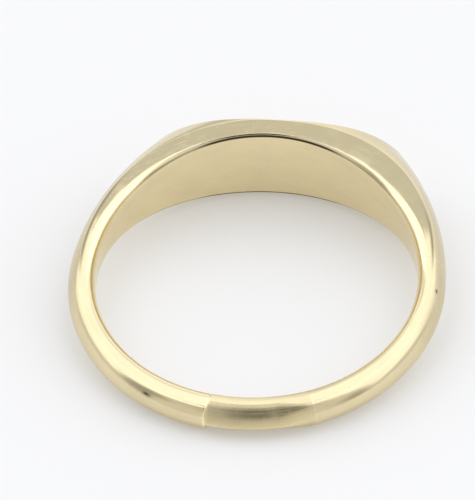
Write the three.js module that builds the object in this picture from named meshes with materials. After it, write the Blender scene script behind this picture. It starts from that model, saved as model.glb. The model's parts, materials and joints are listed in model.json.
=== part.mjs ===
import * as THREE from 'three';
import { mergeVertices } from 'three/addons/utils/BufferGeometryUtils.js';

// Signet ring in yellow gold, in millimetres.
//
// The ring is drawn round its bore axis Z with the head towards +Y. A place round the ring is an
// angle from the head, positive towards +X, the right side. A section is drawn in two lengths:
// radial, out from the bore axis, and axial, along the bore. The finished ring lies on its side.

// Bore and thickness
const boreRadius = 8.6;
const tableThickness = 0.88;
const shankSideThickness = 1.48;
const shankBackThickness = 1.68;

// Widths along the bore. The shank's front width is reckoned under the middle of the head.
const headWidth = 4.75;
const headFlare = 0.34;
const shankFrontWidth = 3.36;
const shankBackWidth = 1.7;

// Table and shoulders, filed by hand, so the two sides differ a little
const rimStep = 0.06;
const shoulderArcRadius = 17;
const rightSide = { tableEnd: 7.16, shoulderFlank: 1.4 };
const leftSide = { tableEnd: 6.55, shoulderFlank: 0.95 };

// Reach of the flank beside and behind the finger, its rounded edge included
const sideFlank = 1;
const backFlank = 0.9;

// Rounding of the inner edge
const headEdgeRound = 0.25;
const sideEdge = { radial: 0.7, axial: 0.78 };
const backEdge = { radial: 0.8, axial: 0.3 };

// Hard solder joints
const solderWidth = 0.08;

// Where things happen round the ring, in degrees from the head
const shoulderMiddleAngle = 45;
const flareEndAngle = 80;
const headSpanAngle = 74;
const sideAngle = 90;
const backAngle = 180;
const edgeRoundStartAngle = 10;
const crownChangeStartAngle = 45;
const crownChangeEndAngle = 100;
const rightShoulderSeamAngle = 83;
const leftShoulderSeamAngle = -87;
const rightSizingSeamAngle = 157;
const leftSizingSeamAngle = 190.5;

// Form of the crown: 2 is an ellipse, less is more pointed
const headCrownExponent = 1.3;
const shankCrownExponent = 1.6;

// Fineness of the faces
const edgeSteps = 5;
const flankSteps = 2;
const crownSteps = 10;
const tableSteps = 11;
const stationAngle = 3;

const tableHeight = boreRadius + tableThickness;
const shankRadius = boreRadius + shankSideThickness;
const arcOffset = shoulderArcRadius - shankRadius;
const flareSlope = headFlare / tableThickness;

const radians = THREE.MathUtils.degToRad;
const mix = THREE.MathUtils.lerp;

// Share of the way from one angle to another, eased at both ends
function blend(angle, from, to) {
  return THREE.MathUtils.smoothstep(angle, from, to);
}

// Degrees brought between -180 and 180
function wrapped(angle) {
  return angle > backAngle ? angle - 2 * backAngle : angle;
}

function sideOf(angle) {
  return angle > 0 ? rightSide : leftSide;
}

// Angle of the table's end, where the shoulder arc starts
function tableEndAngle(ringSide) {
  return Math.atan2(ringSide.tableEnd, tableHeight);
}

// The shoulder is an arc from the table's end that runs into the shank's outer circle. Both circles
// touch at this angle, which the law of cosines gives from the distance of the table's end.
function touchAngle(ringSide) {
  const reach = Math.hypot(ringSide.tableEnd, tableHeight);
  const opposite = shoulderArcRadius ** 2 - arcOffset ** 2 - reach ** 2;
  return tableEndAngle(ringSide) + Math.acos(opposite / (2 * arcOffset * reach));
}

// Outer radius of the ring's middle line before the table is filed flat
function crownRadius(ringSide, angle) {
  const fromTouch = radians(angle) - touchAngle(ringSide);
  const growth = shankBackThickness - shankSideThickness;
  const added = growth * blend(angle, sideAngle, backAngle);
  if (fromTouch > 0) {
    return shankRadius + added;
  }
  const along = -arcOffset * Math.cos(fromTouch);
  return along + Math.sqrt(along ** 2 - arcOffset ** 2 + shoulderArcRadius ** 2) + added;
}

// Half of the ring's width at the bore. The shank tapers steadily to its back, and the head spreads
// beyond it.
function halfWidth(angle) {
  const frontShare = (1 + Math.cos(radians(angle))) / 2;
  const shank = mix(shankBackWidth, shankFrontWidth, frontShare);
  const spread = (headWidth - shankFrontWidth) * (1 - blend(angle, 0, headSpanAngle));
  return (shank + spread) / 2;
}

// How far the flat flank reaches out from the bore
function flankReach(ringSide, angle) {
  const centre = tableThickness - rimStep;
  const shoulder = mix(centre, ringSide.shoulderFlank, blend(angle, 0, shoulderMiddleAngle));
  const arm = mix(shoulder, sideFlank, blend(angle, shoulderMiddleAngle, sideAngle));
  return mix(arm, backFlank, blend(angle, sideAngle, backAngle));
}

// Share of the crown's quarter turn that the flat table leaves standing
function crownTurn(ringSide, angle, flankEdge, crown, exponent) {
  if (radians(angle) >= tableEndAngle(ringSide)) {
    return Math.PI / 2;
  }
  const limit = tableHeight / Math.cos(radians(angle));
  return Math.asin(((limit - flankEdge) / (crown - flankEdge)) ** (exponent / 2));
}

// Every size of the section at an angle
function sectionSizes(ringAngle) {
  const ringSide = sideOf(ringAngle);
  const angle = Math.abs(ringAngle);
  const rounding = blend(angle, edgeRoundStartAngle, sideAngle);
  const backward = blend(angle, sideAngle, backAngle);
  const pointed = blend(angle, crownChangeStartAngle, crownChangeEndAngle);
  const exponent = mix(headCrownExponent, shankCrownExponent, pointed);
  const reach = flankReach(ringSide, angle);
  const flankEdge = boreRadius + reach;
  const inner = halfWidth(angle);
  const lean = flareSlope * reach * (1 - blend(angle, 0, flareEndAngle));
  const crown = crownRadius(ringSide, angle);
  return {
    inner,
    outer: inner + lean,
    edgeRadial: mix(mix(headEdgeRound, sideEdge.radial, rounding), backEdge.radial, backward),
    edgeAxial: mix(mix(headEdgeRound, sideEdge.axial, rounding), backEdge.axial, backward),
    flankEdge,
    crown,
    exponent,
    turn: crownTurn(ringSide, angle, flankEdge, crown, exponent),
  };
}

// Turn of the rounded edge, an ellipse, at which the flank's far edge lies straight ahead. With the
// ellipse scaled to a circle of radius 1, this is where a line from that edge touches it.
function edgeTurn({ inner, outer, edgeRadial, edgeAxial, flankEdge }) {
  const beyond = (flankEdge - boreRadius) / edgeRadial - 1;
  const above = (outer - inner) / edgeAxial + 1;
  return Math.PI - Math.atan2(above, beyond) - Math.acos(1 / Math.hypot(beyond, above));
}

// Rounded edge from the bore to the flank
function edgePoints(sizes) {
  const { inner, edgeRadial, edgeAxial } = sizes;
  const turn = edgeTurn(sizes);
  return Array.from({ length: edgeSteps + 1 }, (_, i) => {
    const t = (i / edgeSteps) * turn;
    return [boreRadius + edgeRadial * (1 - Math.cos(t)), inner - edgeAxial * (1 - Math.sin(t))];
  });
}

// Straight flank from the end of the rounded edge, which leans out towards the table at the head
function flankPoints([startRadial, startAxial], { outer, flankEdge }) {
  return Array.from({ length: flankSteps }, (_, i) => {
    const share = (i + 1) / flankSteps;
    return [mix(startRadial, flankEdge, share), mix(startAxial, outer, share)];
  });
}

// Crown from the flank up to the table's rim, or to its top where there is no table
function crownPoints({ outer, flankEdge, crown, exponent, turn }) {
  const points = Array.from({ length: crownSteps }, (_, i) => {
    const t = ((i + 1) / crownSteps) * turn;
    const radial = flankEdge + (crown - flankEdge) * Math.sin(t) ** (2 / exponent);
    return [radial, outer * Math.max(Math.cos(t), 0) ** (2 / exponent)];
  });
  if (turn === Math.PI / 2) {
    points[crownSteps - 1] = [crown, 0];
  }
  return points;
}

// Closed section at an angle, as points in the ring's own axes
function section(angle) {
  const ringAngle = wrapped(angle);
  const sizes = sectionSizes(ringAngle);
  const edge = edgePoints(sizes);
  const flank = flankPoints(edge[edgeSteps], sizes);
  const upper = [...edge, ...flank, ...crownPoints(sizes)];
  const lower = upper.map(([radial, axial]) => [radial, -axial]).reverse();
  const sine = Math.sin(radians(ringAngle));
  const cosine = Math.cos(radians(ringAngle));
  return [...upper, ...lower].map(
    ([radial, axial]) => new THREE.Vector3(radial * sine, radial * cosine, axial),
  );
}

function middleOf(points) {
  const sum = points.reduce((total, point) => total.add(point), new THREE.Vector3());
  return sum.divideScalar(points.length);
}

function addFace(corners, a, b, c) {
  if (a.equals(b) || b.equals(c) || c.equals(a)) {
    return;
  }
  corners.push(...a, ...b, ...c);
}

// Solid lofted through the sections at the given angles, with flat ends
function loft(angles) {
  const sections = angles.map(section);
  const corners = [];
  for (let i = 1; i < sections.length; i++) {
    const near = sections[i - 1];
    const far = sections[i];
    near.forEach((point, k) => {
      const next = (k + 1) % near.length;
      addFace(corners, point, far[next], near[next]);
      addFace(corners, point, far[k], far[next]);
    });
  }
  const first = sections[0];
  const last = sections[sections.length - 1];
  const firstMiddle = middleOf(first);
  const lastMiddle = middleOf(last);
  first.forEach((point, k) => {
    const next = (k + 1) % first.length;
    addFace(corners, firstMiddle, point, first[next]);
    addFace(corners, lastMiddle, last[next], last[k]);
  });
  const geometry = new THREE.BufferGeometry();
  geometry.setAttribute('position', new THREE.Float32BufferAttribute(corners, 3));
  const merged = mergeVertices(geometry);
  merged.computeVertexNormals();
  return merged;
}

// Evenly spaced angles, ends included
function evenAngles(from, to) {
  const count = Math.max(1, Math.ceil((to - from) / stationAngle));
  return Array.from({ length: count + 1 }, (_, i) => mix(from, to, i / count));
}

// Angles over half of the table, from its middle and closer together towards its pointed end
function tableAngles(ringSide) {
  const end = THREE.MathUtils.radToDeg(tableEndAngle(ringSide));
  return Array.from({ length: tableSteps }, (_, i) => {
    return end * Math.sin(((i + 1) / tableSteps) * (Math.PI / 2));
  });
}

// Half the angle that a solder joint takes up in the middle of the shank
function solderHalfAngle() {
  const middleRadius = boreRadius + shankSideThickness / 2;
  return THREE.MathUtils.radToDeg(solderWidth / middleRadius) / 2;
}

function headGeometry() {
  const leftTable = tableAngles(leftSide).map((angle) => -angle).reverse();
  const rightTable = tableAngles(rightSide);
  const half = solderHalfAngle();
  const leftShoulder = evenAngles(leftShoulderSeamAngle + half, leftTable[0]);
  const rightShoulder = evenAngles(rightTable[rightTable.length - 1], rightShoulderSeamAngle - half);
  return loft([
    ...leftShoulder,
    ...leftTable.slice(1),
    0,
    ...rightTable.slice(0, -1),
    ...rightShoulder,
  ]);
}

// Length of shank between two seams, less half a solder joint at each end
function shankGeometry(fromSeam, toSeam) {
  const half = solderHalfAngle();
  return loft(evenAngles(fromSeam + half, toSeam - half));
}

function solderGeometry(seam) {
  const half = solderHalfAngle();
  return loft([seam - half, seam + half]);
}

const gold = new THREE.MeshStandardMaterial({ color: 0xd8c594, roughness: 0.12, metalness: 1 });
const sizingGold = new THREE.MeshStandardMaterial({ color: 0xd4bf8c, roughness: 0.22, metalness: 1 });
const solder = new THREE.MeshStandardMaterial({ color: 0xe6dcbc, roughness: 0.25, metalness: 1 });

function piece(name, geometry, material) {
  const mesh = new THREE.Mesh(geometry, material);
  mesh.name = name;
  return mesh;
}

function buildPieces() {
  const pieces = new THREE.Group();
  const turn = 2 * backAngle;
  pieces.add(
    piece('signet_head', headGeometry(), gold),
    piece('right_shank_arm', shankGeometry(rightShoulderSeamAngle, rightSizingSeamAngle), gold),
    piece('left_shank_arm', shankGeometry(leftSizingSeamAngle - turn, leftShoulderSeamAngle), gold),
    piece('sizing_piece', shankGeometry(rightSizingSeamAngle, leftSizingSeamAngle), sizingGold),
    piece('right_shoulder_solder', solderGeometry(rightShoulderSeamAngle), solder),
    piece('left_shoulder_solder', solderGeometry(leftShoulderSeamAngle), solder),
    piece('right_sizing_solder', solderGeometry(rightSizingSeamAngle), solder),
    piece('left_sizing_solder', solderGeometry(leftSizingSeamAngle), solder),
  );
  return pieces;
}

// On its side the ring rests on the wide edge of its head and the narrow edge of its shank, so its
// bore axis leans back by this angle
function restTilt() {
  const drop = headWidth / 2 + flareSlope * flankReach(rightSide, 0) - shankBackWidth / 2;
  const span = boreRadius + flankReach(rightSide, 0) + boreRadius + backFlank;
  return Math.atan2(drop, span);
}

// The ring laid on its side, with the middle of its footprint at the origin
function buildRing() {
  const pieces = buildPieces();
  pieces.rotation.x = restTilt();
  const box = new THREE.Box3().setFromObject(pieces, true);
  const centre = box.getCenter(new THREE.Vector3());
  pieces.position.set(-centre.x, -centre.y, -box.min.z);
  const ring = new THREE.Group();
  ring.add(pieces);
  return ring;
}

export default buildRing();
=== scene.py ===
"""Looks of a pale yellow gold signet ring that lies on its side on a white table.

Every piece of the ring is a surface worked out as its solid is, from nearly the same sizes, in the
ring's own axes: the bore runs along Z and the head points along +Y. A place round the ring is an
angle from the head in degrees, positive towards +X. Sizes of the ring are in millimetres, and meshes
in metres.
"""
import json
import math

import bpy
import numpy as np
from mathutils import Matrix, Vector


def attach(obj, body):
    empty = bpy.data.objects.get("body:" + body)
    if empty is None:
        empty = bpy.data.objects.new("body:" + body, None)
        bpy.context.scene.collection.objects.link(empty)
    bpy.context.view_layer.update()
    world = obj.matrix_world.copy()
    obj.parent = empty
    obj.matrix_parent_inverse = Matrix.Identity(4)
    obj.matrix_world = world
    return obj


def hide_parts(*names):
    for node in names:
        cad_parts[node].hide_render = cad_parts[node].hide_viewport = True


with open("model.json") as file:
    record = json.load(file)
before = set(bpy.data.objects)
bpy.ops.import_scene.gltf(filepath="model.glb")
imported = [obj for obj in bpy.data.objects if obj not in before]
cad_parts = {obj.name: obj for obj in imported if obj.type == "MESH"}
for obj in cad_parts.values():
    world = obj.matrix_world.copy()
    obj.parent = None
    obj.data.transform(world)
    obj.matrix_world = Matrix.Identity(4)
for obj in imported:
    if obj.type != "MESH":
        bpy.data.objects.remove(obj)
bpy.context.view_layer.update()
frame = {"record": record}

MILLIMETRE = 0.001

# Bore and thickness
BORE_RADIUS = 8.6
TABLE_THICKNESS = 0.88
SHANK_SIDE_THICKNESS = 1.48
SHANK_BACK_THICKNESS = 1.68

# Widths along the bore
HEAD_WIDTH = 4.75
HEAD_FLARE = 0.34
SHANK_FRONT_WIDTH = 3.0
SHANK_BACK_WIDTH = 1.7

# Table and shoulders, filed by hand, so the right and the left side differ a little
RIM_STEP = 0.06
SHOULDER_ARC_RADIUS = 17.0
RIGHT_TABLE_END, RIGHT_SHOULDER_FLANK = 7.16, 1.4
LEFT_TABLE_END, LEFT_SHOULDER_FLANK = 6.55, 0.95

# Reach of the flank beside and behind the finger, its rounded edge included
SIDE_FLANK = 0.78
BACK_FLANK = 1.1

# Rounding of the edges
HEAD_EDGE_ROUND = 0.25
SIDE_EDGE_RADIAL, SIDE_EDGE_AXIAL = 0.7, 0.78
BACK_EDGE_RADIAL, BACK_EDGE_AXIAL = 0.7, 0.3
RIM_ROUND = 0.05

# Solder joints, and the groove along both sides of the left sizing joint
SOLDER_WIDTH = 0.08
JOINT_GROOVE_DEPTH = 0.004
JOINT_GROOVE_WIDTH = 0.035

# The sizing piece, filed to a narrower flank than the shank's: over a long way on its right, and at
# once on its left
FILED_FLANK = 0.7
FILED_EDGE_RADIAL = 0.52
SOFT_FILED_ANGLE = 12.0
SHARP_FILED_ANGLE = 0.4

# Unevenness that hand polishing leaves: depth, length round the ring and length over the section
POLISH_WAVES = ((0.0012, 3.4, 2.6), (0.0007, 1.9, 5.3), (0.0004, 1.1, 1.7))
WAVE_WOBBLE = 1.5

# Where the rubbed outside and the rubbed edges lie, in shares of the crown, degrees from the head and
# millimetres over the section. The rubbed outside of the crown is rougher, which is real wear, and
# darker, which is painted shade. A pair of angles is where something begins and where it is whole, or
# begins to end and has ended.
HANDLED_AND_SHADED_CROWN_SHARES = (-0.05, 0.3)
HANDLED_AND_SHADED_ANGLES = (0, 58)
LESS_HANDLED_AND_SHADED_ANGLES = (95, 125)
LESS_HANDLED_AND_SHADED_SHARE = 0.6
# The rubbed edges, the table's rim and the left sizing joint are also made paler, a painted highlight.
EDGE_WEAR_AND_HIGHLIGHT_WIDTH = 0.1
TABLE_RIM_ANGLES = (34, 40)
TABLE_RIM_WEAR_AND_HIGHLIGHT = 0.6

# Where the near-black lies: painted shade along the creases of the shoulders, a painted dark reflection
# along the head's inner edge, and real marks in two nicks. A nick has its angle, how far beyond the
# flank it is, its half length in degrees and its half width.
LEFT_CREASE_SHADE_START, LEFT_CREASE_SHADE_END = (46, 62), (84, 100)
RIGHT_CREASE_SHADE_START, RIGHT_CREASE_SHADE_END = (56, 70), (76, 92)
CREASE_SHADE_WIDTH = 0.08
CREASE_SHADE_SHARE = 0.7
HEAD_EDGE_SHADE_ENDS = ((20, 30), (45, 60))
HEAD_EDGE_SHADE_WIDTH = 0.05
HEAD_EDGE_SHADE_PLACE = 0.6
HEAD_EDGE_SHADE_STRENGTH = 3
NICKS = ((95, 0.42, 0.7, 0.08), (-150, 0.5, 1.6, 0.1))

# Where things happen round the ring, in degrees from the head
EDGE_ROUND_START_ANGLE = 10
SHOULDER_MIDDLE_ANGLE = 45
CROWN_CHANGE_START_ANGLE = 45
TABLE_LIMIT_ANGLE = 75
FLARE_END_ANGLE = 80
HEAD_SPAN_ANGLE = 88
SIDE_ANGLE = 90
CROWN_CHANGE_END_ANGLE = 100
CREASE_END_ANGLE = 100
BACK_ANGLE = 180
WHOLE_TURN = 2 * BACK_ANGLE
RIGHT_SHOULDER_SEAM = 83
LEFT_SHOULDER_SEAM = -87
RIGHT_SIZING_SEAM = 157
LEFT_SIZING_SEAM = 190.5

# Form of the crown: 2 is an ellipse, less is more pointed
HEAD_CROWN_EXPONENT = 1.3
SHANK_CROWN_EXPONENT = 1.6
FILED_CROWN_EXPONENT = 1.3

# Fineness of the meshes: degrees between sections, and steps over half a section, which gather
# towards the table's rim
STATION_ANGLE = 0.5
SEAM_STATION_ANGLES = (0.02, 0.06, 0.15, 0.3)
BORE_STEPS = 10
EDGE_STEPS = 14
FLANK_STEPS = 10
CROWN_STEPS = 36
TABLE_STEPS = 16
LEAST_TABLE_TURN = 0.12
RIM_GATHERING = 1.5

# Columns of a section: the rubbed place of its edge, which is also painted paler as a highlight, and
# where its parts meet
WORN_AND_HIGHLIGHTED_EDGE = BORE_STEPS + 2 * EDGE_STEPS // 3
FLANK_END = BORE_STEPS + EDGE_STEPS + FLANK_STEPS
RIM = FLANK_END + CROWN_STEPS
CROWN_MIDDLE = RIM + TABLE_STEPS
COLUMNS = 2 * CROWN_MIDDLE

# Radii and turns that follow, and a radius that nothing reaches
TABLE_HEIGHT = BORE_RADIUS + TABLE_THICKNESS
BEYOND_THE_CROWN = 99.0
SHANK_RADIUS = BORE_RADIUS + SHANK_SIDE_THICKNESS
ARC_OFFSET = SHOULDER_ARC_RADIUS - SHANK_RADIUS
FLARE_SLOPE = HEAD_FLARE / TABLE_THICKNESS
QUARTER_TURN = math.pi / 2
SOLDER_ANGLE = math.degrees(SOLDER_WIDTH / (BORE_RADIUS + SHANK_SIDE_THICKNESS / 2))


# The ring's surface

def ease(angle, start, end):
    """Share of the way from start to end, eased at both ends: 3 t squared less 2 t cubed."""
    t = np.clip((angle - start) / (end - start), 0, 1)
    return t * t * (3 - 2 * t)


def mix(start, end, share):
    """Start plus share times the way to end."""
    return start + (end - start) * share


def bell(distance, width):
    """One at no distance, and falling to nought on both sides: exp(-(distance / width) squared)."""
    return np.exp(-((distance / width) ** 2))


def from_head(angles):
    """The same places as angles from -180 to 180 degrees."""
    return np.where(angles > BACK_ANGLE, angles - WHOLE_TURN, angles)


def smooth_least(a, b, width):
    """The lesser of a and b, rounded where they differ by less than width: a parabola joins them."""
    share = np.clip(0.5 + (b - a) / (2 * width), 0, 1)
    return mix(b, a, share) - width * share * (1 - share) / 2


def crown_radius(angle, table_end):
    """Outer radius of the ring's middle line before the table is filed flat.

    Past the touching angle it is the shank's circle. Before it, it is a larger circle, inside which
    the shank's circle lies, and which passes through the table's end. The law of cosines gives both
    the touching angle and the radius. The shank grows a little from its side to its back.
    """
    reach = np.hypot(table_end, TABLE_HEIGHT)
    opposite = SHOULDER_ARC_RADIUS**2 - ARC_OFFSET**2 - reach**2
    touch = np.arctan2(table_end, TABLE_HEIGHT) + np.arccos(opposite / (2 * ARC_OFFSET * reach))
    from_touch = np.radians(angle) - touch
    along = -ARC_OFFSET * np.cos(from_touch)
    arc = along + np.sqrt(along**2 - ARC_OFFSET**2 + SHOULDER_ARC_RADIUS**2)
    growth = SHANK_BACK_THICKNESS - SHANK_SIDE_THICKNESS
    return np.where(from_touch > 0, SHANK_RADIUS, arc) + growth * ease(angle, SIDE_ANGLE, BACK_ANGLE)


def tangent_turn(beyond, above):
    """Where a line through a point touches a unit circle, as a turn from the circle's inner side.

    The point lies beyond and above the circle's middle. It is half a turn less the point's own
    direction and less the angle between that and the touching point, arccos(1 / distance).
    """
    return math.pi - np.arctan2(above, beyond) - np.arccos(1 / np.hypot(beyond, above))


def section_sizes(ring_angle):
    """Every size of the section at each ring angle, as columns, eased between the named places."""
    right = ring_angle > 0
    angle = np.abs(ring_angle)
    table_end = np.where(right, RIGHT_TABLE_END, LEFT_TABLE_END)
    shoulder_flank = np.where(right, RIGHT_SHOULDER_FLANK, LEFT_SHOULDER_FLANK)
    shank = mix(SHANK_BACK_WIDTH, SHANK_FRONT_WIDTH, (1 + np.cos(np.radians(angle))) / 2)
    spread = (HEAD_WIDTH - SHANK_FRONT_WIDTH) * (1 - ease(angle, 0, HEAD_SPAN_ANGLE))
    inner = (shank + spread) / 2

    centre = TABLE_THICKNESS - RIM_STEP
    shoulder = mix(centre, shoulder_flank, ease(angle, 0, SHOULDER_MIDDLE_ANGLE))
    arm = mix(shoulder, SIDE_FLANK, ease(angle, SHOULDER_MIDDLE_ANGLE, SIDE_ANGLE))
    backward = ease(angle, SIDE_ANGLE, BACK_ANGLE)
    reach = mix(arm, BACK_FLANK, backward)
    rounding = ease(angle, EDGE_ROUND_START_ANGLE, SIDE_ANGLE)
    edge_radial = mix(mix(HEAD_EDGE_ROUND, SIDE_EDGE_RADIAL, rounding), BACK_EDGE_RADIAL, backward)
    edge_axial = mix(mix(HEAD_EDGE_ROUND, SIDE_EDGE_AXIAL, rounding), BACK_EDGE_AXIAL, backward)
    changed = ease(angle, CROWN_CHANGE_START_ANGLE, CROWN_CHANGE_END_ANGLE)
    exponent = mix(HEAD_CROWN_EXPONENT, SHANK_CROWN_EXPONENT, changed)

    around = np.mod(ring_angle, WHOLE_TURN)
    filed = ease(around, RIGHT_SIZING_SEAM, RIGHT_SIZING_SEAM + SOFT_FILED_ANGLE)
    filed = filed * (1 - ease(around, LEFT_SIZING_SEAM - SHARP_FILED_ANGLE, LEFT_SIZING_SEAM))
    reach = mix(reach, FILED_FLANK, filed)
    edge_radial = mix(edge_radial, FILED_EDGE_RADIAL, filed)
    exponent = mix(exponent, FILED_CROWN_EXPONENT, filed)

    flank_edge = BORE_RADIUS + reach
    lean = FLARE_SLOPE * (1 - ease(angle, 0, FLARE_END_ANGLE))
    crown = crown_radius(angle, table_end)
    near_head = angle < TABLE_LIMIT_ANGLE
    table = TABLE_HEIGHT / np.cos(np.radians(np.minimum(angle, TABLE_LIMIT_ANGLE)))
    limit = np.where(near_head, table, BEYOND_THE_CROWN)
    standing = np.clip((limit - flank_edge) / (crown - flank_edge), 0, 1)
    turn = np.minimum(np.arcsin(standing ** (exponent / 2)), QUARTER_TURN - LEAST_TABLE_TURN)
    sizes = {
        "inner": inner,
        "outer": inner + lean * reach,
        "edge_radial": edge_radial,
        "edge_axial": edge_axial,
        "edge_turn": tangent_turn(reach / edge_radial - 1, lean * reach / edge_axial + 1),
        "flank_edge": flank_edge,
        "crown": crown,
        "exponent": exponent,
        "limit": limit,
        "turn": turn,
    }
    return {name: size[:, None] for name, size in sizes.items()}


def half_section(size):
    """Radial and axial lengths from the middle of the bore round to the middle of the crown.

    A straight bore, part of an ellipse as the edge, a straight flank that carries on where the edge
    has turned its way, and a crown that is a superellipse: its height is sin(t) and its width cos(t),
    each to the power 2 / exponent. The table is the plane that the crown is filed down to, with a
    rounded rim.
    """
    across = np.linspace(0, 1, BORE_STEPS, endpoint=False)[None, :]
    edge_turn = np.linspace(0, 1, EDGE_STEPS + 1)[None, :] * size["edge_turn"]
    along_flank = np.linspace(0, 1, FLANK_STEPS + 1)[None, 1:]
    up_crown = 1 - (1 - np.linspace(0, 1, CROWN_STEPS + 1)[None, 1:]) ** RIM_GATHERING
    over_table = np.linspace(0, 1, TABLE_STEPS + 1)[None, 1:] ** RIM_GATHERING
    edge_start = size["inner"] - size["edge_axial"]
    edge_radial = BORE_RADIUS + size["edge_radial"] * (1 - np.cos(edge_turn))
    edge_axial = size["inner"] - size["edge_axial"] * (1 - np.sin(edge_turn))
    rise = np.concatenate(
        [up_crown * size["turn"], mix(size["turn"], QUARTER_TURN, over_table)], axis=1
    )
    height = np.sin(rise) ** (2 / size["exponent"])
    width = np.maximum(np.cos(rise), 0) ** (2 / size["exponent"])
    crown = mix(size["flank_edge"], size["crown"], height)
    radial = np.concatenate([
        np.broadcast_to(BORE_RADIUS, (len(edge_start), BORE_STEPS)),
        edge_radial,
        mix(edge_radial[:, -1:], size["flank_edge"], along_flank),
        smooth_least(crown, size["limit"], RIM_ROUND),
    ], axis=1)
    axial = np.concatenate([
        edge_start * across,
        edge_axial,
        mix(edge_axial[:, -1:], size["outer"], along_flank),
        size["outer"] * width,
    ], axis=1)
    axial[:, -1] = 0
    return radial, axial


def whole_section(angles):
    """Radial and axial lengths up half a section and back down its mirror image, for each angle."""
    radial, axial = half_section(section_sizes(from_head(angles)))
    radial = np.concatenate([radial, radial[:, -2:0:-1]], axis=1)
    axial = np.concatenate([axial, -axial[:, -2:0:-1]], axis=1)
    return radial, axial


def lengths_over(radial, axial):
    """Length over the section from the middle of the bore to each point, and to the start again."""
    steps = np.hypot(np.roll(radial, -1, axis=1) - radial, np.roll(axial, -1, axis=1) - axial)
    return np.concatenate([np.zeros((len(radial), 1)), np.cumsum(steps, axis=1)], axis=1)


def hand_finish(angles, over):
    """How far the metal stands above its true form, which is never more than nought.

    It is a sum of waves, each its depth times the sine of the place round the ring, shifted by the
    sine of the place over the section, less one. A bell beside each side of the left sizing joint
    is taken off.
    """
    round_ring = np.radians(angles)[:, None] * SHANK_RADIUS
    height = 0
    for depth, round_length, over_length in POLISH_WAVES:
        wobble = np.sin(2 * math.pi * over / over_length + round_ring / round_length)
        wave = np.sin(2 * math.pi * round_ring / round_length + WAVE_WOBBLE * wobble)
        height = height + depth * (wave - 1)
    from_joint = np.abs(np.mod(angles, WHOLE_TURN) - LEFT_SIZING_SEAM)
    beside = np.radians(np.abs(from_joint - SOLDER_ANGLE / 2))[:, None] * SHANK_RADIUS
    return height - JOINT_GROOVE_DEPTH * bell(beside, JOINT_GROOVE_WIDTH)


def surface(angles):
    """Points of the ring's skin, one row for each angle, in the ring's own axes and millimetres.

    A section's points are first moved outwards, at a right angle to the line through their
    neighbours. A point then lies at the radial length times the sine and cosine of the angle, and at
    the axial length along the bore.
    """
    radial, axial = whole_section(angles)
    height = hand_finish(angles, lengths_over(radial, axial)[:, :-1])
    along_radial = np.roll(radial, -1, axis=1) - np.roll(radial, 1, axis=1)
    along_axial = np.roll(axial, -1, axis=1) - np.roll(axial, 1, axis=1)
    length = np.hypot(along_radial, along_axial)
    radial = radial - height * along_axial / length
    axial = axial + height * along_radial / length
    turn = np.radians(angles)[:, None]
    return np.stack([radial * np.sin(turn), radial * np.cos(turn), axial], axis=-1)


def wear_masks(angles, over):
    """Shares of wear, of painted light and shade, and of marks at each point, by name, from places that
    count up both halves alike.

    The first mask is a bell across the inner edges, the table's rim and the joint that shows: rubbed
    edges, rougher as real wear and painted paler as a highlight. The second eases in over the crown and
    beside the finger, and partly out behind it: a rubbed outside that is rougher, as real wear, and
    darker, as painted shade. The third is a bell across the creases of the shoulders, which is painted
    shade, the line where the head's inner edge meets the bore, which is a painted dark reflection, and
    two nicks, which are real marks.
    """
    signed = from_head(angles)[:, None]
    away = np.abs(signed)
    bore_end, edge, crease, rim, top = (
        over[:, column][:, None] for column in (BORE_STEPS, WORN_AND_HIGHLIGHTED_EDGE, FLANK_END, RIM, CROWN_MIDDLE)
    )
    place = np.minimum(over[:, :-1], 2 * top - over[:, :-1])

    on_crown = (place - crease) / (top - crease)
    # The rubbed outside of the crown: rougher, as real wear, and darker, as painted shade.
    handled_and_shaded = ease(on_crown, *HANDLED_AND_SHADED_CROWN_SHARES) * ease(away, *HANDLED_AND_SHADED_ANGLES)
    handled_and_shaded = handled_and_shaded * (1 - LESS_HANDLED_AND_SHADED_SHARE * ease(away, *LESS_HANDLED_AND_SHADED_ANGLES))

    # Rubbed inner edges and the table's rim near the head: real wear, also painted paler as a highlight;
    # across the left sizing joint only a painted highlight.
    near_table = 1 - ease(away, *TABLE_RIM_ANGLES)
    along_edge = bell(place - edge, EDGE_WEAR_AND_HIGHLIGHT_WIDTH)
    along_rim = TABLE_RIM_WEAR_AND_HIGHLIGHT * near_table * bell(place - rim, RIM_ROUND)
    along_joint = bell(np.mod(signed, WHOLE_TURN) - LEFT_SIZING_SEAM, SOLDER_ANGLE)

    # Painted shade in the shoulder creases, a painted dark reflection along the head's inner edge, and
    # real marks in the nicks.
    left = ease(-signed, *LEFT_CREASE_SHADE_START) * (1 - ease(-signed, *LEFT_CREASE_SHADE_END))
    right = ease(signed, *RIGHT_CREASE_SHADE_START) * (1 - ease(signed, *RIGHT_CREASE_SHADE_END))
    in_creases = CREASE_SHADE_SHARE * (left + right) * bell(place - crease, CREASE_SHADE_WIDTH)
    under_head = 1 - sum(ease(away, *ends) / len(HEAD_EDGE_SHADE_ENDS) for ends in HEAD_EDGE_SHADE_ENDS)
    line = bell(place - mix(bore_end, edge, HEAD_EDGE_SHADE_PLACE), HEAD_EDGE_SHADE_WIDTH)
    in_head = under_head * np.minimum(HEAD_EDGE_SHADE_STRENGTH * line, 1)
    in_nicks = sum(
        bell(signed - angle, half_angle) * bell(place - crease - beyond, half_width)
        for angle, beyond, half_angle, half_width in NICKS
    )
    return {
        "edge_wear_and_painted_highlight": np.maximum(np.maximum(along_edge, along_rim), along_joint),
        "handling_and_painted_shade": handled_and_shaded,
        "dirt_and_painted_shade": np.maximum(np.maximum(in_creases, in_nicks), in_head),
    }


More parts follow.
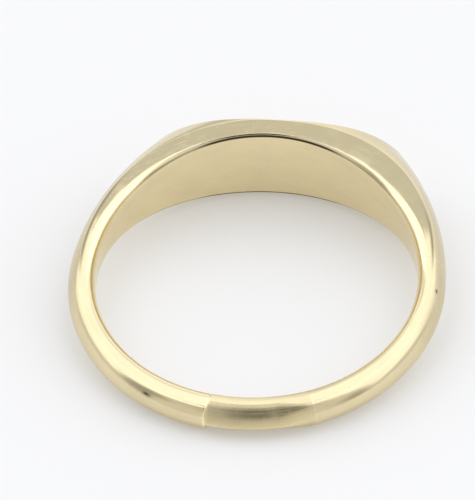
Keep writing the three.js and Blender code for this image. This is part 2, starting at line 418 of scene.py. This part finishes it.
def piece_angles(start, end):
    """Stations from one seam to the next, closer together beside the seams."""
    steps = max(2, math.ceil((end - start) / STATION_ANGLE))
    even = np.linspace(start, end, steps + 1)
    offsets = [a for a in SEAM_STATION_ANGLES if a < (end - start) / 3]
    near = [start + a for a in offsets] + [end - a for a in offsets]
    return np.unique(np.round(np.concatenate([even, near]), 6))


# The ring as it lies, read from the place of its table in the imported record

table_mount = next(m for m in frame["record"]["mounts"] if m["name"] == "signet_table")
table_normal = Vector(table_mount["axis"])
bore_centre = Vector(table_mount["pos_m"]) - table_normal * TABLE_HEIGHT * MILLIMETRE
rest_tilt = math.atan2(table_normal.z, table_normal.y)


def laid_down(points):
    """Points in the ring's own axes turned back about X onto the table and moved, in metres."""
    turn = np.array(Matrix.Rotation(rest_tilt, 3, "X"))
    return points @ turn.T * MILLIMETRE + np.array(bore_centre)


# Pieces

PLACES = "round_and_over"


def skin_faces(rows, columns):
    """Quads between neighbouring rows of a grid whose columns close on themselves."""
    row, column = np.meshgrid(np.arange(rows - 1), np.arange(columns), indexing="ij")
    after = (column + 1) % columns
    here, there = row * columns, (row + 1) * columns
    quads = np.stack([here + column, there + column, there + after, here + after], axis=-1)
    return quads.reshape(-1, 4)


def cap_faces(first, columns):
    """A fan of triangles that closes the row from the middle of its crown and faces its start."""
    middle = columns // 2
    start = np.delete(np.arange(columns), [middle - 1, middle])
    after = (start + 1) % columns
    return (first + np.stack([np.full_like(start, middle), start, after], axis=-1)).tolist()


def skin_places(angles, over):
    """Places round the ring and over the section at the four corners of each face of the skin."""
    rows = len(angles)
    row, column = np.meshgrid(np.arange(rows - 1), np.arange(COLUMNS), indexing="ij")
    corner_rows = np.stack([row, row + 1, row + 1, row], axis=-1)
    corner_columns = np.stack([column, column, column + 1, column + 1], axis=-1)
    round_ring = np.radians(angles)[corner_rows] * SHANK_RADIUS
    return np.stack([round_ring, over[corner_rows, corner_columns]], axis=-1).reshape(-1, 2)


def mark_creases(mesh, angles):
    """Sharp edges along the lines at which the flanks meet the crown, from shoulder to shoulder."""
    near_head = np.abs(from_head(angles)) < CREASE_END_ANGLE
    ends = np.zeros(2 * len(mesh.edges), dtype=np.int32)
    mesh.edges.foreach_get("vertices", ends)
    ends = ends.reshape(-1, 2)
    column = ends % COLUMNS
    on_line = (column == FLANK_END) | (column == COLUMNS - FLANK_END)
    on_line = on_line & near_head[ends // COLUMNS]
    sharp = np.all(on_line, axis=1) & (column[:, 0] == column[:, 1])
    mesh.attributes.new("sharp_edge", "BOOLEAN", "EDGE").data.foreach_set("value", sharp)


def make_piece(name, start, end, material, node):
    """A length of the ring between two angles, as a closed mesh with flat ends."""
    angles = piece_angles(start, end)
    over = lengths_over(*whole_section(angles))
    points = surface(angles)
    rows, columns = points.shape[:2]
    skin = skin_faces(rows, columns).tolist()
    near_cap = cap_faces(0, columns)
    far_cap = [face[::-1] for face in cap_faces((rows - 1) * columns, columns)]
    mesh = bpy.data.meshes.new(name)
    mesh.from_pydata(laid_down(points.reshape(-1, 3)).tolist(), [], skin + near_cap + far_cap)
    smooth = np.zeros(len(mesh.polygons), dtype=bool)
    smooth[: len(skin)] = True
    mesh.polygons.foreach_set("use_smooth", smooth)
    mark_creases(mesh, angles)
    places = np.zeros((len(mesh.loops), 2))
    places[: 4 * len(skin)] = skin_places(angles, over)
    mesh.uv_layers.new(name=PLACES).uv.foreach_set("vector", places.astype(np.float32).ravel())
    for mask, shares in wear_masks(angles, over).items():
        values = mesh.attributes.new(mask, "FLOAT", "POINT").data
        values.foreach_set("value", shares.astype(np.float32).ravel())
    mesh.materials.append(material)
    mesh.validate()
    piece = bpy.data.objects.new(name, mesh)
    bpy.context.scene.collection.objects.link(piece)
    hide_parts(node)
    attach(piece, "root")
    return piece


# Materials

# Noises of the marks: how often they repeat round the ring and over the section, and their detail. A
# scratch noise has its turn in degrees, its scales and the value along which it shows, and only in
# the patches of one more noise.
CLOUD_SCALES, CLOUD_DETAIL = (0.45, 0.9, 1), 3.0
LINE_SCALES, LINE_DETAIL = (0.25, 11, 1), 2.0
SCRATCHES = ((24, (0.35, 5, 1), 0.5), (-38, (0.5, 4, 1), 0.47), (78, (0.6, 6, 1), 0.52))
SCRATCH_EDGE, SCRATCH_DETAIL = (0.012, 0.003), 0.0
PATCH_TURN, PATCH_SCALES, PATCH_DETAIL = 50, (0.8, 0.7, 1), 1.0
PATCH_EDGE = (0.5, 0.62)
SPECKS_PER_MILLIMETRE = 1.1
SPECK_EDGE = (0.032, 0.015)
LEAST_SPECK_CHANCE = 0.72
NOISE_MIDDLE = 0.5

# What the marks, the wear, the painted highlight and shade, and the nicks' dark colour do to the metal
MARK_ROUGHNESS = 0.12
CLOUD_DARKENING_START, CLOUD_DARKENING = 0.35, 0.12
SCRATCH_DARKENING, SPECK_DARKENING = 0.05, 0.35
SCRATCH_DEPTH, SPECK_DEPTH = 1.2, 4.0
# A paler tint on the rubbed edges and the left sizing joint: a painted highlight.
WORN_AND_HIGHLIGHT_TINT = (1.0, 0.89, 0.6, 1)
WORN_AND_HIGHLIGHT_SHARE = 0.8
WORN_ROUGHNESS = 0.03
# Near-black: painted shade in the creases, a painted dark reflection along the head's inner edge, and the
# colour of two real nicks.
DIRT_AND_SHADE_COLOUR = (0.06, 0.042, 0.018, 1)
DIRT_AND_SHADE_ROUGHNESS = 0.35


class Nodes:
    """Short ways to add nodes to one tree. An input is a number, a tuple or another node's socket."""

    def __init__(self, tree):
        self.tree = tree

    def add(self, kind, inputs=None, **settings):
        """A new node with its settings and what goes into its inputs."""
        node = self.tree.nodes.new(kind)
        for name, value in settings.items():
            setattr(node, name, value)
        for key, value in (inputs or {}).items():
            self.feed(node.inputs[key], value)
        return node

    def feed(self, socket, value):
        """Link another node's socket to this one, or set this one's value."""
        if isinstance(value, bpy.types.NodeSocket):
            self.tree.links.new(value, socket)
        else:
            socket.default_value = value

    def math(self, operation, *values, clamp=False):
        """One sum, product or other operation on one to three values."""
        inputs = dict(enumerate(values))
        return self.add("ShaderNodeMath", inputs, operation=operation, use_clamp=clamp).outputs[0]

    def step(self, value, start, end):
        """Nought before start, one after end, and eased between."""
        inputs = {"Value": value, "From Min": start, "From Max": end}
        return self.add("ShaderNodeMapRange", inputs, interpolation_type="SMOOTHSTEP").outputs["Result"]

    def mix(self, share, start, end):
        """Start plus share times the way to end, for numbers."""
        inputs = {"Factor": share, "A": start, "B": end}
        return self.add("ShaderNodeMix", inputs, data_type="FLOAT").outputs["Result"]

    def mix_colour(self, share, start, end):
        """Start plus share times the way to end, for colours."""
        inputs = {"Factor": share, 6: start, 7: end}
        return self.add("ShaderNodeMix", inputs, data_type="RGBA").outputs[2]


def marks_group():
    """Marks of polishing and of wear, from places round the ring and over its section in millimetres.

    Long fine lines run round the ring, hairline scratches cross it both ways where a stretched noise
    passes one value, small specks are the middles of scattered cells, and a cloudy noise varies the
    whole. It puts out the roughness, the share of darkening and the height.
    """
    group = bpy.data.node_groups.new("polishing marks", "ShaderNodeTree")
    for name in ("Base Roughness", "Cloud Roughness", "Line Roughness", "Scratch Share"):
        group.interface.new_socket(name, in_out="INPUT", socket_type="NodeSocketFloat")
    group.interface.new_socket("Place", in_out="INPUT", socket_type="NodeSocketVector")
    for name in ("Roughness", "Darkening", "Height"):
        group.interface.new_socket(name, in_out="OUTPUT", socket_type="NodeSocketFloat")
    nodes = Nodes(group)
    given = nodes.add("NodeGroupInput").outputs
    result = nodes.add("NodeGroupOutput")

    def noise(turn, scales, detail):
        turned = {"Vector": given["Place"], "Rotation": (0, 0, math.radians(turn)), "Scale": scales}
        place = nodes.add("ShaderNodeMapping", turned).outputs[0]
        inputs = {"Vector": place, "Scale": 1.0, "Detail": detail}
        return nodes.add("ShaderNodeTexNoise", inputs, noise_dimensions="2D").outputs["Fac"]

    cloud = noise(0, CLOUD_SCALES, CLOUD_DETAIL)
    lines = noise(0, LINE_SCALES, LINE_DETAIL)
    scratches = None
    for turn, scales, shown_value in SCRATCHES:
        past_line = nodes.math("SUBTRACT", noise(turn, scales, SCRATCH_DETAIL), shown_value)
        line = nodes.step(nodes.math("ABSOLUTE", past_line), *SCRATCH_EDGE)
        kept = nodes.step(noise(turn + PATCH_TURN, PATCH_SCALES, PATCH_DETAIL), *PATCH_EDGE)
        line = nodes.math("MULTIPLY", line, kept)
        scratches = line if scratches is None else nodes.math("MAXIMUM", scratches, line)
    scratches = nodes.math("MULTIPLY", scratches, given["Scratch Share"])
    spread = {"Vector": given["Place"], "Scale": SPECKS_PER_MILLIMETRE}
    cells = nodes.add("ShaderNodeTexVoronoi", spread, voronoi_dimensions="2D").outputs
    chance = nodes.add("ShaderNodeSeparateColor", {0: cells["Color"]}).outputs[0]
    chosen = nodes.math("GREATER_THAN", chance, LEAST_SPECK_CHANCE)
    specks = nodes.math("MULTIPLY", nodes.step(cells["Distance"], *SPECK_EDGE), chosen)

    uneven = nodes.math("MULTIPLY", nodes.math("SUBTRACT", cloud, NOISE_MIDDLE), given["Cloud Roughness"])
    lined = nodes.math("MULTIPLY", nodes.math("SUBTRACT", lines, NOISE_MIDDLE), given["Line Roughness"])
    marks = nodes.math("MAXIMUM", scratches, specks)
    marked = nodes.math("MULTIPLY_ADD", marks, MARK_ROUGHNESS, nodes.math("ADD", uneven, lined))
    nodes.feed(result.inputs["Roughness"], nodes.math("ADD", marked, given["Base Roughness"]))
    shade = nodes.math("SUBTRACT", cloud, CLOUD_DARKENING_START, clamp=True)
    shade = nodes.math("MULTIPLY", shade, CLOUD_DARKENING)
    shade = nodes.math("MULTIPLY_ADD", specks, SPECK_DARKENING, shade)
    shade = nodes.math("MULTIPLY_ADD", scratches, SCRATCH_DARKENING, shade)
    nodes.feed(result.inputs["Darkening"], shade)
    dents = nodes.math("MULTIPLY", scratches, SCRATCH_DEPTH)
    dents = nodes.math("MULTIPLY_ADD", specks, SPECK_DEPTH, dents)
    nodes.feed(result.inputs["Height"], nodes.math("SUBTRACT", lines, dents))
    return group


MARKS = marks_group()


def metal(name, colour, marks, mark_depth, painted_shade_darkening, handled_roughness):
    """Polished metal with polishing marks; rubbed edges, rougher and painted paler as a highlight; a
    rubbed outside, rougher and painted darker as shade; and a near-black that is painted shade in the
    creases, a painted dark reflection along the head's inner edge and real marks in two nicks.
    """
    material = bpy.data.materials.new(name)
    material.use_nodes = True
    nodes = Nodes(material.node_tree)
    shader = material.node_tree.nodes["Principled BSDF"]
    shader.inputs["Metallic"].default_value = 1
    place = nodes.add("ShaderNodeUVMap", uv_map=PLACES).outputs[0]
    group = nodes.add("ShaderNodeGroup", node_tree=MARKS)
    nodes.feed(group.inputs["Place"], place)
    for socket, value in marks.items():
        nodes.feed(group.inputs[socket], value)
    edge_wear_and_painted_highlight, handling_and_painted_shade, dirt_and_painted_shade = (
        nodes.add("ShaderNodeAttribute", attribute_name=mask).outputs["Fac"]
        for mask in ("edge_wear_and_painted_highlight", "handling_and_painted_shade", "dirt_and_painted_shade")
    )
    # The rubbed outside is darkened as painted shade, besides the marks' own darkening.
    darkened = nodes.math("MULTIPLY_ADD", handling_and_painted_shade, painted_shade_darkening, group.outputs["Darkening"])
    level = nodes.math("SUBTRACT", 1.0, darkened)
    lit = nodes.add("ShaderNodeVectorMath", {0: colour, 3: level}, operation="SCALE").outputs[0]
    # The rubbed edges and the left sizing joint are painted paler as a highlight.
    worn_and_highlighted = nodes.mix_colour(nodes.math("MULTIPLY", edge_wear_and_painted_highlight, WORN_AND_HIGHLIGHT_SHARE), lit, WORN_AND_HIGHLIGHT_TINT)
    # Near-black where the creases and the head's inner edge get painted shade and a painted dark
    # reflection, and in two real nicks.
    nodes.feed(shader.inputs["Base Color"], nodes.mix_colour(dirt_and_painted_shade, worn_and_highlighted, DIRT_AND_SHADE_COLOUR))
    rough = nodes.math("MULTIPLY_ADD", handling_and_painted_shade, handled_roughness, group.outputs["Roughness"])
    rough = nodes.math("MULTIPLY_ADD", edge_wear_and_painted_highlight, WORN_ROUGHNESS, rough)
    rough = nodes.math("MULTIPLY_ADD", dirt_and_painted_shade, DIRT_AND_SHADE_ROUGHNESS, rough, clamp=True)
    nodes.feed(shader.inputs["Roughness"], rough)
    bump = nodes.add("ShaderNodeBump", {"Strength": 1.0, "Distance": mark_depth * MILLIMETRE})
    nodes.feed(bump.inputs["Height"], group.outputs["Height"])
    nodes.feed(shader.inputs["Normal"], bump.outputs[0])
    return material


gold = metal(
    "polished yellow gold", (0.88, 0.757, 0.475),
    {"Base Roughness": 0.085, "Cloud Roughness": 0.08, "Line Roughness": 0.06, "Scratch Share": 1.0},
    mark_depth=0.0004, painted_shade_darkening=0.27, handled_roughness=0.13,
)
satin_gold = metal(
    "satin yellow gold", (0.84, 0.72, 0.44),
    {"Base Roughness": 0.26, "Cloud Roughness": 0.1, "Line Roughness": 0.14, "Scratch Share": 0.7},
    mark_depth=0.0012, painted_shade_darkening=0.22, handled_roughness=0.05,
)
solder = metal(
    "hard solder", (0.89, 0.78, 0.51),
    {"Base Roughness": 0.12, "Cloud Roughness": 0.1, "Line Roughness": 0.05, "Scratch Share": 0.5},
    mark_depth=0.0006, painted_shade_darkening=0.2, handled_roughness=0.08,
)


# Four lengths between the joints, and a wafer of solder in each joint

half_joint = SOLDER_ANGLE / 2
lengths = [
    ("signet_head", LEFT_SHOULDER_SEAM, RIGHT_SHOULDER_SEAM, gold, "gold"),
    ("right_shank_arm", RIGHT_SHOULDER_SEAM, RIGHT_SIZING_SEAM, gold, "gold"),
    ("sizing_piece", RIGHT_SIZING_SEAM, LEFT_SIZING_SEAM, satin_gold, "sizing_gold"),
    ("left_shank_arm", LEFT_SIZING_SEAM - WHOLE_TURN, LEFT_SHOULDER_SEAM, gold, "gold"),
]
for node, start, end, material, slot in lengths:
    make_piece("finished_" + node, start + half_joint, end - half_joint, material, node)
joints = [
    ("right_shoulder_solder", RIGHT_SHOULDER_SEAM),
    ("left_shoulder_solder", LEFT_SHOULDER_SEAM),
    ("right_sizing_solder", RIGHT_SIZING_SEAM),
    ("left_sizing_solder", LEFT_SIZING_SEAM),
]
for node, seam in joints:
    make_piece("finished_" + node, seam - half_joint, seam + half_joint, solder, node)


# Camera, as the photograph was taken. Its distance and aim are in millimetres, and how near and how
# far it sees in metres.

CAMERA_DISTANCE = 283.93
CAMERA_AZIMUTH = 6.6
CAMERA_ELEVATION = 42.676
CAMERA_ROLL = -1.979
AIM_POINT = (-1.268, 2.75, 1.767)
LENS = 383.06
NEAREST_SEEN, FARTHEST_SEEN = 0.01, 10


def direction(azimuth, elevation):
    """Unit vector from the ring towards a place round it, with azimuth 0 along -Y."""
    a, e = math.radians(azimuth), math.radians(elevation)
    return Vector((math.sin(a) * math.cos(e), -math.cos(a) * math.cos(e), math.sin(e)))


def make_camera():
    """A long lens that looks at the aim point and is rolled about its own axis."""
    camera = bpy.data.objects.new("camera", bpy.data.cameras.new("camera"))
    bpy.context.scene.collection.objects.link(camera)
    camera.data.lens = LENS
    camera.data.clip_start = NEAREST_SEEN
    camera.data.clip_end = FARTHEST_SEEN
    distance = CAMERA_DISTANCE * MILLIMETRE
    camera.location = bore_centre + direction(CAMERA_AZIMUTH, CAMERA_ELEVATION) * distance
    line = Vector(AIM_POINT) * MILLIMETRE - camera.location
    upright = line.to_track_quat("-Z", "Y").to_matrix()
    roll = Matrix.Rotation(math.radians(CAMERA_ROLL), 3, "Z")
    camera.rotation_euler = (upright @ roll).to_euler()
    bpy.context.scene.camera = camera


make_camera()


# Floor

FLOOR_SIZE = 2.0
FLOOR_COLOUR = (0.665, 0.659, 0.653, 1)
# The floor's glow is painted light: it lifts the ring's shadow.
FLOOR_GLOW = 0.24
FLOOR_ROUGHNESS = 0.6


def make_floor():
    """A plain pale table top that also glows a little: painted light that lifts the ring's shadow on it.
    """
    half = FLOOR_SIZE / 2
    mesh = bpy.data.meshes.new("floor")
    corners = [(-half, -half, 0), (half, -half, 0), (half, half, 0), (-half, half, 0)]
    mesh.from_pydata(corners, [], [(0, 1, 2, 3)])
    material = bpy.data.materials.new("white table")
    material.use_nodes = True
    shader = material.node_tree.nodes["Principled BSDF"]
    shader.inputs["Base Color"].default_value = FLOOR_COLOUR
    shader.inputs["Emission Color"].default_value = (1, 1, 1, 1)
    shader.inputs["Emission Strength"].default_value = FLOOR_GLOW
    shader.inputs["Roughness"].default_value = FLOOR_ROUGHNESS
    mesh.materials.append(material)
    floor = bpy.data.objects.new("floor", mesh)
    bpy.context.scene.collection.objects.link(floor)


make_floor()


# Light

# Areas of the studio on a round plan of the dome, seen from above with the camera at the bottom: the
# zenith is the middle and the horizon a circle of radius 1. Each has its middle across and along,
# its half width and half length, the softness of its edge, and its brightness. Later ones cover
# earlier ones.
DOME_LEVEL = 0.82
STUDIO_AREAS = {
    "left light": (-0.47, 0.11, 0.39, 0.36, 0.1, 1.45),
    "right light": (0.445, 0.12, 0.425, 0.46, 0.1, 1.47),
    "far low light": (0.1, 0.79, 0.75, 0.22, 0.1, 1.04),
    "far light": (0.0, 0.45, 0.4, 0.14, 0.06, 1.35),
    "gap between the lights": (-0.04, -0.02, 0.1, 0.19, 0.03, 0.69),
    "far end of the gap": (-0.06, 0.23, 0.065, 0.08, 0.03, 0.69),
    "front gap": (0.0, -0.5, 0.34, 0.24, 0.25, 0.62),
    "narrow front light": (0.0, -0.25, 0.12, 0.02, 0.02, 1.4),
    "dark card": (0.0, -0.445, 0.13, 0.175, 0.05, 0.05),
    "dark corner on the left": (-0.66, -0.4, 0.2, 0.12, 0.2, 0.45),
    "dark corner on the right": (0.82, -0.52, 0.16, 0.1, 0.15, 0.48),
    "far corner on the left": (-0.3, 0.83, 0.2, 0.1, 0.2, 0.65),
}
FAR_TINT = (0.945, 0.962, 1.0, 1.0)
FRONT_TINT = (1.0, 0.985, 0.95, 1.0)
TINT_CHANGE = (-0.9, 0.0)

# Keeps the root from nought straight below the ring
JUST_OVER_ONE = 1.0001


def make_world():
    """A dome of soft light.

    A direction's place on the plan is its level part over sqrt(1 + height), which keeps areas.
    """
    world = bpy.data.worlds.new("studio")
    bpy.context.scene.world = world
    world.use_nodes = True
    nodes = Nodes(world.node_tree)
    toward = nodes.add("ShaderNodeTexCoord").outputs["Generated"]
    parts = nodes.add("ShaderNodeSeparateXYZ", {0: toward}).outputs
    shrink = nodes.math("INVERSE_SQRT", nodes.math("ADD", parts["Z"], JUST_OVER_ONE))
    across = nodes.math("MULTIPLY", parts["X"], shrink)
    along = nodes.math("MULTIPLY", parts["Y"], shrink)
    level = DOME_LEVEL
    for middle_x, middle_y, half_x, half_y, edge, brightness in STUDIO_AREAS.values():
        masks = []
        for place, middle, half in ((across, middle_x, half_x), (along, middle_y, half_y)):
            away = nodes.math("ABSOLUTE", nodes.math("SUBTRACT", place, middle))
            masks.append(nodes.step(away, half + edge / 2, half - edge / 2))
        level = nodes.mix(nodes.math("MULTIPLY", *masks), level, brightness)
    background = world.node_tree.nodes["Background"]
    share = nodes.step(along, *TINT_CHANGE)
    nodes.feed(background.inputs["Color"], nodes.mix_colour(share, FRONT_TINT, FAR_TINT))
    nodes.feed(background.inputs["Strength"], level)


make_world()
bpy.context.scene.view_settings.view_transform = "Standard"
